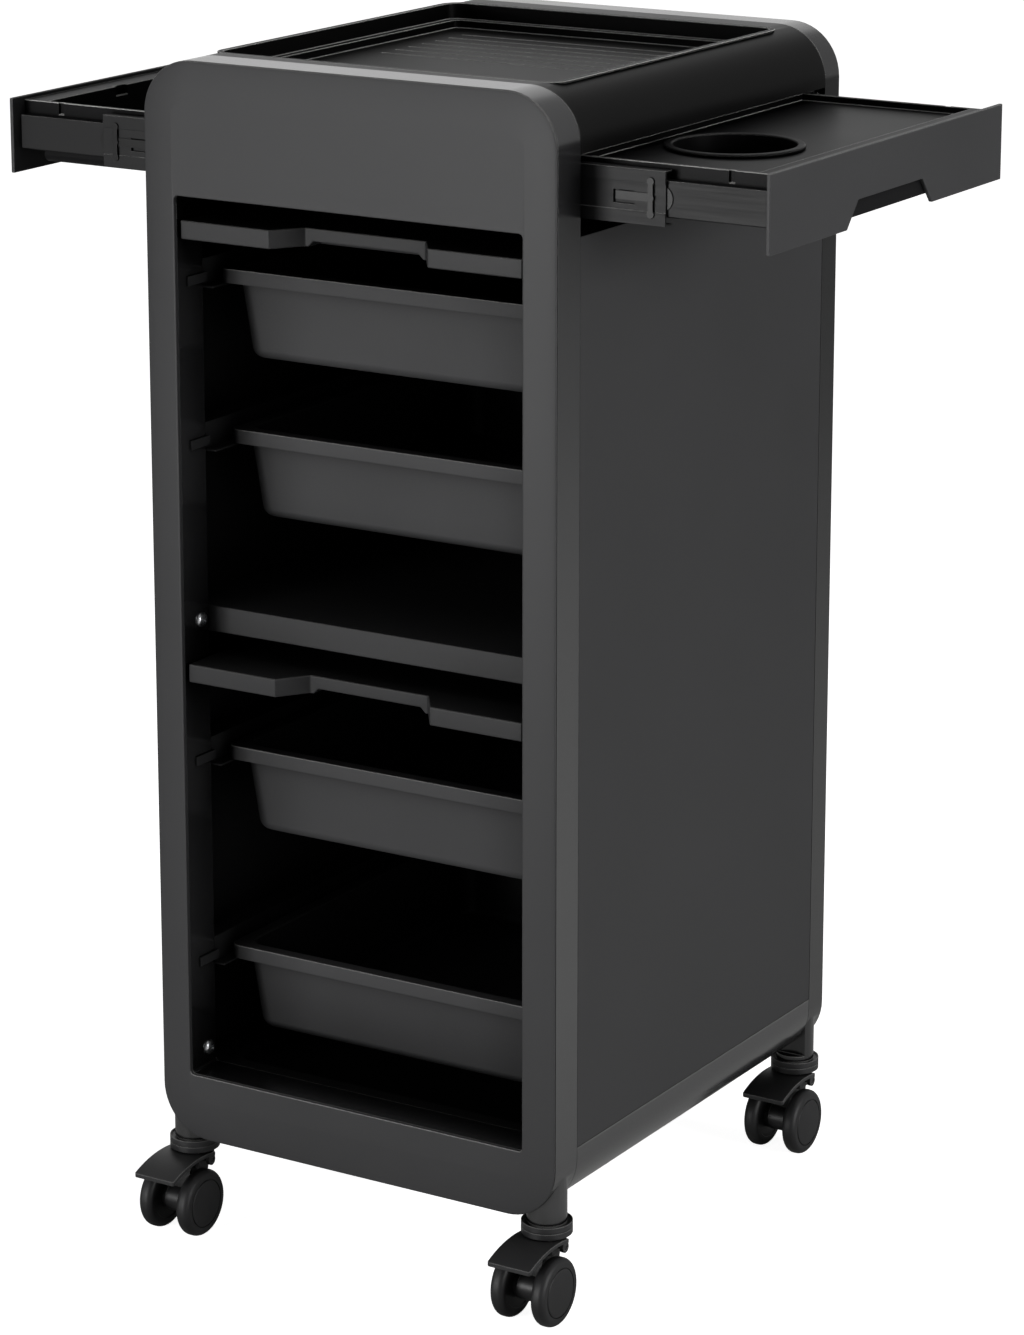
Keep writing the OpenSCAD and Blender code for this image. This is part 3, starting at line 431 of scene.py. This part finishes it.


# edge paints a highlight on upper edges, and deep paints shade where surfaces lie deep
finishes = {
    "graphite_plate": mouldedFinish("graphitePlate", "333334", rough=0.46, grain=1400, depth=0.012, dust=0.0,
                                    specular=0.18, deep=0.6, edge=0.35),
    "graphite_frame": mouldedFinish("graphiteFrame", "282829", rough=0.2, grain=1100, depth=0.008, dust=0.0,
                                    specular=0.9, deep=5.0, edge=0.2),
    "graphite_panel": mouldedFinish("graphitePanel", "2d2d2e", rough=0.5, grain=1400, depth=0.012, dust=0.0,
                                    specular=0.2),
    "tray_black": mouldedFinish("trayBlack", "0c0c0c", rough=0.42, grain=700, depth=0.05, dust=0.0,
                                specular=0.05, edge=0.9),
    "bin_grey": mouldedFinish("binGrey", "3c3c3d", rough=0.52, specular=0.15, deep=1.8, edge=0.25),
    "board_grey": mouldedFinish("boardGrey", "2c2c2d", specular=0.15, deep=1.8, edge=0.2),
    "drawer_grey": mouldedFinish("drawerGrey", "151516", rough=0.42, dust=0.0, specular=0.045, edge=0.7),
    "inner_black": mouldedFinish("innerBlack", "0e0e0e", rough=0.6, depth=0.02, dust=0.0, specular=0.1,
                                 deep=2.0),
    "latch_black": mouldedFinish("latchBlack", "0c0c0c", rough=0.35, grain=500, depth=0.02, specular=0.15),
    "caster_black": mouldedFinish("casterBlack", "242425", rough=0.42, grain=700, depth=0.04, deep=1.0,
                                  edge=0.15),
    "wheel_grey": mouldedFinish("wheelGrey", "202021", rough=0.5, grain=600, depth=0.04, specular=0.25,
                                deep=1.0),
    "slide_steel": steelFinish("slideSteel", "101011", rough=0.45, metallic=0.0, edge=0.5, specular=0.15),
    "ball_steel": steelFinish("ballSteel", "a0a3a7", rough=0.2),
    "screw_zinc": steelFinish("screwZinc", "c4c6c8", rough=0.28),
}
# pieces whose finish differs from that of the others in their slot; the back frame and the top cover get
# darker copies of the frame's finish, which paint in shade
ownFinish = {
    "back_frame": mouldedFinish("backFramePaintedShade", "161617", rough=0.2, grain=1100, depth=0.008, dust=0.0,
                                specular=0.8, edge=0.2),
    "top_cover": mouldedFinish("topCoverPaintedShade", "111111", rough=0.36, grain=1100, depth=0.02, dust=0.0,
                               specular=0.06, deep=0.8, edge=0.3),
    "bin_runners": mouldedFinish("runnerGrey", "303031", dust=0.0, specular=0.15, deep=1.0),
}
slotOfNode = {entry["node"]: entry["material_slot"] for entry in frame["record"]["subparts"]}
for nodeName, node in nodes.items():
    for slot in node.material_slots:
        slot.material = finishes[slotOfNode[nodeName]]
print("finishes:", len(finishes) + len(ownFinish))


# pieces

bodyOfNode = {n: body for body, held in frame["record"]["behaviour"]["bodies"].items() for n in held}


# the mesh that an object has with its modifiers applied
def evaluatedMesh(piece):
    bpy.context.view_layer.update()
    return bpy.data.meshes.new_from_object(piece.evaluated_get(bpy.context.evaluated_depsgraph_get()))


def shadeByAngle(mesh, degrees):
    mesh.polygons.foreach_set("use_smooth", [True] * len(mesh.polygons))
    mesh.set_sharp_from_angle(angle=math.radians(degrees))


def meshFrom(shape, name, degrees=35):
    mesh = bpy.data.meshes.new(name)
    shape.to_mesh(mesh)
    shape.free()
    shadeByAngle(mesh, degrees)
    return mesh


# gives flat faces their own normal, so that only the eased edges shade round
def weighNormals(piece):
    weigh = piece.modifiers.new("weigh", "WEIGHTED_NORMAL")
    weigh.keep_sharp = True
    weigh.weight = 80
    rough = piece.data
    piece.data = evaluatedMesh(piece)
    piece.modifiers.remove(weigh)
    bpy.data.meshes.remove(rough)


# puts a finished mesh into the scene as a piece that stands for a CAD node
def place(mesh, name, nodeName):
    slotName = slotOfNode[nodeName]
    mesh.materials.clear()
    mesh.materials.append(finishes[slotName])
    piece = bpy.data.objects.new(name, mesh)
    bpy.context.collection.objects.link(piece)
    weighNormals(piece)
    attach(piece, bodyOfNode[nodeName])
    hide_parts(nodeName)
    return piece


# lowest and highest corner of a node in millimetres
def boxOf(nodeName):
    low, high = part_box(nodeName)
    return [c / mm for c in low], [c / mm for c in high]


easing = {
    "merge": 1e-6,       # metres between points that are made one
    "flat": 0.6,         # degrees between faces that are made one
    "sharp": 32,         # degrees from which an edge is eased
}


# a copy of a CAD node as a piece, merged and with its sharp edges eased by a width in millimetres
def easedPiece(nodeName, pieceName, width, segments=2, degrees=35):
    shape = bmesh.new()
    shape.from_mesh(nodes[nodeName].data)
    bmesh.ops.remove_doubles(shape, verts=shape.verts, dist=easing["merge"])
    flat = math.radians(easing["flat"])
    bmesh.ops.dissolve_limit(shape, angle_limit=flat, verts=shape.verts, edges=shape.edges)
    limit = math.radians(easing["sharp"])
    sharp = [e for e in shape.edges if len(e.link_faces) == 2 and e.calc_face_angle() > limit]
    if sharp:
        bmesh.ops.bevel(shape, geom=sharp, offset=width * mm, offset_type="OFFSET", segments=segments,
                        profile=0.5, affect="EDGES", clamp_overlap=True)
    return place(meshFrom(shape, pieceName, degrees), pieceName, nodeName)


easedEdges = {
    "front_frame": 0.8, "back_frame": 1.0, "back_panel": 0.3, "side_panel_left": 0.5, "side_panel_right": 0.5,
    "base_shell": 0.5, "base_floor": 0.6, "top_cover": 0.5, "top_tray": 0.3, "middle_shelf": 0.8,
    "bin_runners": 0.3, "board_runners": 0.3, "caster_stems": 0.6, "slide_outers": 0.25,
    "slide_middle_right": 0.25, "slide_middle_left": 0.25,
    "slide_latches_right": 0.25, "slide_latches_left": 0.25,
    "slide_inner_right": 0.25, "slide_inner_left": 0.25, "drawer_right_tray": 0.6, "drawer_left_box": 0.6,
    "drawer_right_front": 0.6, "drawer_left_front": 0.6, "upper_board": 1.2, "lower_board": 1.2,
}


def makeEasedPieces(widths):
    for nodeName, width in widths.items():
        first, *others = nodeName.split("_")
        piece = easedPiece(nodeName, first + "".join(w.capitalize() for w in others) + "Shell", width)
        if nodeName in ownFinish:
            piece.material_slots[0].material = ownFinish[nodeName]


# rings and lathes, in millimetres

def between(first, last, share):
    return first + (last - first) * share


# points of an arc round a centre, from one angle to another
def arc(centreA, centreB, radius, start, end, steps=5):
    turns = [math.radians(between(start, end, i / steps)) for i in range(steps + 1)]
    return [(centreA + radius * math.cos(t), centreB + radius * math.sin(t)) for t in turns]


# points of a rectangle with round corners, seen with its first axis to the right
def roundedLoop(a0, a1, b0, b1, radius, steps):
    corners = [(a1 - radius, b1 - radius), (a0 + radius, b1 - radius),
               (a0 + radius, b0 + radius), (a1 - radius, b0 + radius)]
    points = []
    for i, (centreA, centreB) in enumerate(corners):
        points += arc(centreA, centreB, radius, 90 * i, 90 * (i + 1), steps)
    return points


# joins rings of equally many points, either round to the first or with a cap at both ends
def loft(rings, closed=False):
    shape = bmesh.new()
    made = [[shape.verts.new([c * mm for c in p]) for p in ring] for ring in rings]
    pairs = list(zip(made, made[1:])) + ([(made[-1], made[0])] if closed else [])
    for ringA, ringB in pairs:
        for i in range(len(ringA)):
            j = (i + 1) % len(ringA)
            shape.faces.new((ringA[i], ringA[j], ringB[j], ringB[i]))
    if not closed:
        shape.faces.new(made[0])
        shape.faces.new(made[-1])
    bmesh.ops.recalc_face_normals(shape, faces=shape.faces)
    return shape


# turns a profile of (radius, height) round Z, where radius 0 closes it, and then leans it about Y
# by an angle and moves it to its centre
def lathe(profile, steps, centre=(0, 0, 0), lean=0):
    shape = bmesh.new()
    turns = [2 * math.pi * i / steps for i in range(steps)]
    rings = []
    for radius, height in profile:
        if radius <= 0:
            rings.append([shape.verts.new((0, 0, height * mm))])
            continue
        points = [(radius * mm * math.cos(t), radius * mm * math.sin(t), height * mm) for t in turns]
        rings.append([shape.verts.new(point) for point in points])
    for ringA, ringB in zip(rings, rings[1:]):
        for i in range(steps):
            j = (i + 1) % steps
            corners = [ringA[i % len(ringA)], ringA[j % len(ringA)],
                       ringB[j % len(ringB)], ringB[i % len(ringB)]]
            unique = list(dict.fromkeys(corners))
            if len(unique) > 2:
                shape.faces.new(unique)
    move = Matrix.Translation([c * mm for c in centre])
    shape.transform(move @ Matrix.Rotation(math.radians(lean), 4, "Y"))
    bmesh.ops.recalc_face_normals(shape, faces=shape.faces)
    return shape


# front plate: a flat field with a soft border that falls back to the edge

frontPlate = {
    "fieldHalf": 143.4, "fieldTop": 29.0, "fieldBottom": 30.0, "fieldRadius": 11.0,
    "openingHalf": 142.0, "openingLow": 50.0, "openingDrop": 95.0, "openingRadius": 3.0,
    "openingEase": ((0.0, 0.8), (0.25, 0.25), (0.8, 0.0)),       # out from the opening, back from the face
    "borderSteps": (0.04, 0.08, 0.14, 0.22, 0.34, 0.5, 0.66, 0.8, 0.9, 0.96),
    "fall": 1.9, "lateFall": 0.45,       # how far the border falls back, and the share that comes late
    "edgeRound": 0.9, "edgeSteps": 4, "cornerRadius": 39.0, "cornerSteps": 14, "smooth": 40,
}


def makeFrontPlate(plate):
    pieceName = "frontPlateFace"
    low, high = boxOf("front_plate")
    x, z0, z1 = high[0], low[2], high[2]
    face, back = low[1], high[1]
    rings = []

    def ring(half, bottom, top, radius, y):
        loop = roundedLoop(-half, half, bottom, top, radius, plate["cornerSteps"])
        rings.append([(a, y, b) for a, b in loop])

    half, radius = plate["openingHalf"], plate["openingRadius"]
    bottom, top = z0 + plate["openingLow"], z1 - plate["openingDrop"]
    ring(half, bottom, top, radius, back)
    for out, behind in plate["openingEase"]:
        ring(half + out, bottom - out, top + out, radius + out, face + behind)
    fieldLow, fieldHigh = z0 + plate["fieldBottom"], z1 - plate["fieldTop"]
    ring(plate["fieldHalf"], fieldLow, fieldHigh, plate["fieldRadius"], face)
    edge, late = plate["edgeRound"], plate["lateFall"]
    for share in plate["borderSteps"]:
        half = between(plate["fieldHalf"], x - edge, share)
        bottom = between(fieldLow, z0 + edge, share)
        top = between(fieldHigh, z1 - edge, share)
        radius = between(plate["fieldRadius"], plate["cornerRadius"] - edge, share)
        ring(half, bottom, top, radius, face + plate["fall"] * ((1 - late) * share + late * share ** 3))
    for i in range(1, plate["edgeSteps"] + 1):
        turn = math.radians(90 * i / plate["edgeSteps"])
        out = edge * (1 - math.sin(turn))
        y = face + plate["fall"] + edge * (1 - math.cos(turn))
        ring(x - out, z0 + out, z1 - out, plate["cornerRadius"] - out, min(y, back))
    ring(x, z0, z1, plate["cornerRadius"], back)
    place(meshFrom(loft(rings, closed=True), pieceName, plate["smooth"]), pieceName, "front_plate")


# bins: thin tubs with round corners and an overhanging rim

binTub = {
    "lip": 8.0, "taper": 5.5, "wall": 2.2, "bodyCorner": 15.0, "leastCorner": 2.0, "floorRound": 7.0,
    "rimHeight": 10.5, "rimCorner": 9.0, "cornerSteps": 8, "smooth": 40,
    "mouth": ((0.6, 1.1), (0.1, 0.3), (-0.8, 0.0)),        # in from the inner wall, below the top
    "rimTop": ((1.1, 0.0), (0.3, 0.35), (0.0, 1.1)),       # in from the rim's side, below the top
    "rimFoot": ((0.0, 0.6), (0.5, 0.0)),                   # in from the rim's side, above its foot
    "rimStep": 0.2,                                        # out from the lip, under the rim
}


def makeBin(number, tub):
    nodeName, pieceName = f"bin_{number}", f"binTub{number}"
    low, high = boxOf(nodeName)
    half, y0, y1, bottom, top = high[0], low[1], high[1], low[2], high[2]
    lip, wall, corner, rimCorner = tub["lip"], tub["wall"], tub["bodyCorner"], tub["rimCorner"]
    foot = top - tub["rimHeight"]
    slope = tub["taper"] / (top - bottom)

    # insets, heights and corner radii of the floor's rounding, on the outside or so far inside it
    def floorRings(offset):
        fillet, floorInset = tub["floorRound"] - offset, lip + tub["taper"] + offset
        made = []
        for a, b in arc(0, 0, fillet, 270, 360):
            inset, z = floorInset + fillet - a, bottom + offset + fillet + b
            radius = max(corner - offset - inset + floorInset, tub["leastCorner"])
            made.append((inset - slope * (z - bottom), z, radius))
        return made

    rings = floorRings(wall)
    rings += [(lip + wall + i, top - d, corner - wall + max(-i, 0)) for i, d in tub["mouth"]]
    rings += [(i, top - d, rimCorner - i) for i, d in tub["rimTop"]]
    rings += [(i, foot + d, rimCorner - i) for i, d in tub["rimFoot"]]
    rings += [(wall, foot, rimCorner - wall), (wall, top - wall, rimCorner - wall)]
    rings += [(lip - tub["rimStep"], top - wall, corner - wall)]
    rings += reversed(floorRings(0))
    loops = []
    for inset, z, radius in rings:
        loop = roundedLoop(inset - half, half - inset, y0 + inset, y1 - inset, radius, tub["cornerSteps"])
        loops.append([(a, b, z) for a, b in loop])
    place(meshFrom(loft(loops), pieceName, tub["smooth"]), pieceName, nodeName)


# cup: a lathe shape with a rolled rim

cupShape = {
    "wall": 2.0, "floorRound": 5.0, "innerRound": 4.0, "rim": 4.0, "rimHeight": 3.0, "rimRound": 1.6,
    "neckEase": (0.4, 0.6), "rimEase": 0.6, "mouthRound": 1.4, "mouthFlat": 2.2, "steps": 96, "smooth": 40,
}


def makeCup(cup):
    low, high = boxOf("cup_insert")
    centre = ((low[0] + high[0]) / 2, (low[1] + high[1]) / 2, low[2])
    outer = (high[0] - low[0]) / 2
    height = high[2] - low[2]
    body = outer - cup["rim"]
    bore = body - cup["wall"]
    under = height - cup["rimHeight"]
    fillet, inner, wall = cup["floorRound"], cup["innerRound"], cup["wall"]
    neckOut, neckDown = cup["neckEase"]
    rim, mouth = cup["rimRound"], cup["mouthRound"]
    profile = [(0, 0)]
    profile += arc(body - fillet, fillet, fillet, 270, 360)
    profile += [(body, under - neckDown), (body + neckOut, under), (outer - cup["rimEase"], under)]
    profile += arc(outer - rim, height - rim, rim, -30, 90, 6)
    profile += [(bore + cup["mouthFlat"], height)]
    profile += arc(bore + mouth, height - mouth, mouth, 90, 180)
    profile += [(bore, wall + fillet)]
    profile += arc(bore - inner, wall + inner, inner, 0, -90)
    profile += [(0, wall)]
    place(meshFrom(lathe(profile, cup["steps"], centre), "toolCup", cup["smooth"]), "toolCup", "cup_insert")


# casters: wheels with domed caps, and pedals and housings with eased edges

wheelShape = {
    "bore": 3.1, "bush": 2.6, "bushRadius": 10.0, "bushEase": 0.4,
    "width": 11.5, "shoulder": 4.6, "shoulderSteps": 7,
    "recess": 0.6, "recessEdge": (3.0, 2.4),      # its depth in the inner side, its foot and mouth
    "cap": 17.8, "capSeam": 0.35, "seamDeep": 0.9, "seamSlope": 0.1, "capEase": 0.4, "capRise": 0.2,
    "dome": 0.7, "domeSteps": (0.93, 0.8, 0.6, 0.4, 0.2), "steps": 72, "smooth": 38,
}
casterEase = {
    "pedal": {"width": 0.7, "segments": 3, "degrees": 38},
    "housing": {"width": 0.5},
}


def makeWheel(corner, side, wheel):
    nodeName = f"caster_{corner}_wheel_{side}"
    pieceName = f"casterWheel{corner.upper()}{side.capitalize()}"
    low, high = boxOf(nodeName)
    inner, lean = (low[0], 90) if side == "right" else (high[0], -90)
    centre = (inner, (low[1] + high[1]) / 2, (low[2] + high[2]) / 2)
    start, bush, shoulder = wheel["bush"], wheel["bushRadius"], wheel["shoulder"]
    flat = (high[2] - low[2]) / 2 - shoulder       # radius at which the flat sides end
    steps, ease = wheel["shoulderSteps"], wheel["bushEase"]
    end = start + wheel["width"]
    recessed = start + wheel["recess"]
    recessFoot, recessMouth = wheel["recessEdge"]
    profile = [(wheel["bore"], 0), (bush - ease, 0), (bush, ease), (bush, recessed)]
    profile += [(flat - recessFoot, recessed), (flat - recessMouth, start)]
    profile += arc(flat, start + shoulder, shoulder, 270, 360, steps)
    profile += arc(flat, end - shoulder, shoulder, 0, 90, steps)
    seamOut, seamIn = wheel["cap"] + wheel["capSeam"], wheel["cap"] - wheel["capSeam"]
    slope, seamEnd, capEdge = wheel["seamSlope"], end - wheel["seamDeep"], end + wheel["capRise"]
    profile += [(seamOut, end), (seamOut - slope, seamEnd), (seamIn, seamEnd), (seamIn, end - slope)]
    profile += [(seamIn - wheel["capEase"], capEdge)]
    profile += [(wheel["cap"] * s, capEdge + wheel["dome"] * (1 - s ** 2)) for s in wheel["domeSteps"]]
    profile += [(0, capEdge + wheel["dome"])]
    shape = lathe(profile, wheel["steps"], centre, lean)
    bore = [e for e in shape.edges if e.is_boundary]       # closed, because the axle fills it
    bmesh.ops.holes_fill(shape, edges=bore)
    bmesh.ops.recalc_face_normals(shape, faces=shape.faces)
    place(meshFrom(shape, pieceName, wheel["smooth"]), pieceName, nodeName)


def makeCaster(corner):
    for side in ("left", "right"):
        makeWheel(corner, side, wheelShape)
    easedPiece(f"caster_{corner}_pedal", f"brakePedal{corner.upper()}", **casterEase["pedal"])
    easedPiece(f"caster_{corner}_housing", f"casterHousing{corner.upper()}", **casterEase["housing"])


# geometry nodes: a copy of one small piece on every point, all turned the same way

def piecesOnPoints():
    tree = bpy.data.node_groups.new("piecesOnPoints", "GeometryNodeTree")
    tree.is_modifier = True
    addSocket(tree, "Geometry", "NodeSocketGeometry", "INPUT")
    addSocket(tree, "Geometry", "NodeSocketGeometry", "OUTPUT")
    addSocket(tree, "Piece", "NodeSocketObject", "INPUT")
    addSocket(tree, "Turn", "NodeSocketVector", "INPUT")
    addSocket(tree, "Finish", "NodeSocketMaterial", "INPUT")
    given, out = addNode(tree, "NodeGroupInput"), addNode(tree, "NodeGroupOutput")
    piece = addNode(tree, "GeometryNodeObjectInfo")
    stand = addNode(tree, "GeometryNodeInstanceOnPoints")
    real = addNode(tree, "GeometryNodeRealizeInstances")
    paint = addNode(tree, "GeometryNodeSetMaterial")
    link = tree.links.new
    link(given.outputs["Geometry"], stand.inputs["Points"])
    link(given.outputs["Piece"], piece.inputs["Object"])
    link(piece.outputs["Geometry"], stand.inputs["Instance"])
    link(given.outputs["Turn"], stand.inputs["Rotation"])
    link(stand.outputs[0], real.inputs[0])
    link(real.outputs[0], paint.inputs["Geometry"])
    link(given.outputs["Finish"], paint.inputs["Material"])
    link(paint.outputs[0], out.inputs[0])
    return tree


def socketId(tree, name):
    return next(item.identifier for item in tree.interface.items_tree
                if item.item_type == "SOCKET" and item.in_out == "INPUT" and item.name == name)


# runs a tree on a few points and gives back the plain mesh it makes
def growMesh(tree, name, points, **values):
    start = bpy.data.meshes.new(name)
    start.from_pydata(points, [], [])
    holder = bpy.data.objects.new(name, start)
    bpy.context.collection.objects.link(holder)
    modifier = holder.modifiers.new("grow", "NODES")
    modifier.node_group = tree
    for label, value in values.items():
        modifier[socketId(tree, label)] = value
    made = evaluatedMesh(holder)
    holder.modifiers.remove(modifier)
    bpy.data.objects.remove(holder)
    return made


# screws in the walls of the front frame: pan heads with a cross recess

screwHead = {
    "radius": 5.5, "height": 2.9, "sunk": 0.4, "ease": 0.2, "brim": 0.5, "crownSteps": 7, "steps": 32,
    "recess": 2.6, "slot": 1.0, "deep": 1.5, "bladeLift": 0.2, "smooth": 40,
    "apart": 20.0,       # two screws on a wall are at least this far apart
}


def makeScrewHead(screw):
    radius, sunk, brim, height = screw["radius"], screw["sunk"], screw["brim"], screw["height"]
    profile = [(0, -sunk), (radius - screw["ease"], -sunk), (radius, 0), (radius, brim)]
    for i in range(1, screw["crownSteps"]):
        turn = math.radians(90 * i / screw["crownSteps"])
        profile.append((radius * math.cos(turn), brim + (height - brim) * math.sin(turn)))
    profile.append((0, height))
    head = bpy.data.objects.new("screwHead", meshFrom(lathe(profile, screw["steps"]), "screwHead"))
    bpy.context.collection.objects.link(head)
    size = Matrix.Diagonal((2 * screw["recess"] * mm, screw["slot"] * mm, 2 * screw["deep"] * mm, 1))
    lift = Matrix.Translation((0, 0, (height + screw["bladeLift"]) * mm))
    for turn in (45, 135):
        cutter = bmesh.new()
        bmesh.ops.create_cube(cutter, size=1.0)
        cutter.transform(Matrix.Rotation(math.radians(turn), 4, "Z") @ lift @ size)
        blade = bpy.data.objects.new("blade", meshFrom(cutter, "blade"))
        bpy.context.collection.objects.link(blade)
        cut = head.modifiers.new("cut", "BOOLEAN")
        cut.object, cut.operation, cut.solver = blade, "DIFFERENCE", "EXACT"
        cutMesh = evaluatedMesh(head)
        head.modifiers.remove(cut)
        head.data = cutMesh
        bpy.data.objects.remove(blade)
    shadeByAngle(head.data, screw["smooth"])
    return head


# heights of the screws, read from the CAD heads
def screwHeights(apart):
    zs = sorted(v.co.z / mm for v in nodes["frame_screws"].data.vertices)
    groups = [[zs[0]]]
    for z in zs[1:]:
        if z - groups[-1][-1] > apart:
            groups.append([])
        groups[-1].append(z)
    return [(group[0] + group[-1]) / 2 for group in groups]


def makeScrews(tree, screw):
    head = makeScrewHead(screw)
    low, high = boxOf("frame_screws")
    middle, y = (low[0] + high[0]) / 2, (low[1] + high[1]) / 2
    parts = bmesh.new()
    for sign in (-1, 1):
        x = middle + sign * frontPlate["openingHalf"]
        points = [(x * mm, y * mm, z * mm) for z in screwHeights(screw["apart"])]
        turn = (0, math.radians(-90 * sign), 0)
        row = growMesh(tree, "screwRow", points, Piece=head, Turn=turn, Finish=finishes["screw_zinc"])
        parts.from_mesh(row)
    bpy.data.objects.remove(head)
    place(meshFrom(parts, "frameScrewHeads", screw["smooth"]), "frameScrewHeads", "frame_screws")


# the build

makeFrontPlate(frontPlate)
print("front plate")
for number in (1, 2, 3, 4):
    makeBin(number, binTub)
print("bins")
makeCup(cupShape)
for corner in ("fl", "fr", "bl", "br"):
    makeCaster(corner)
print("cup and casters")
makeScrews(piecesOnPoints(), screwHead)
print("screws")
makeEasedPieces(easedEdges)
print("eased pieces")
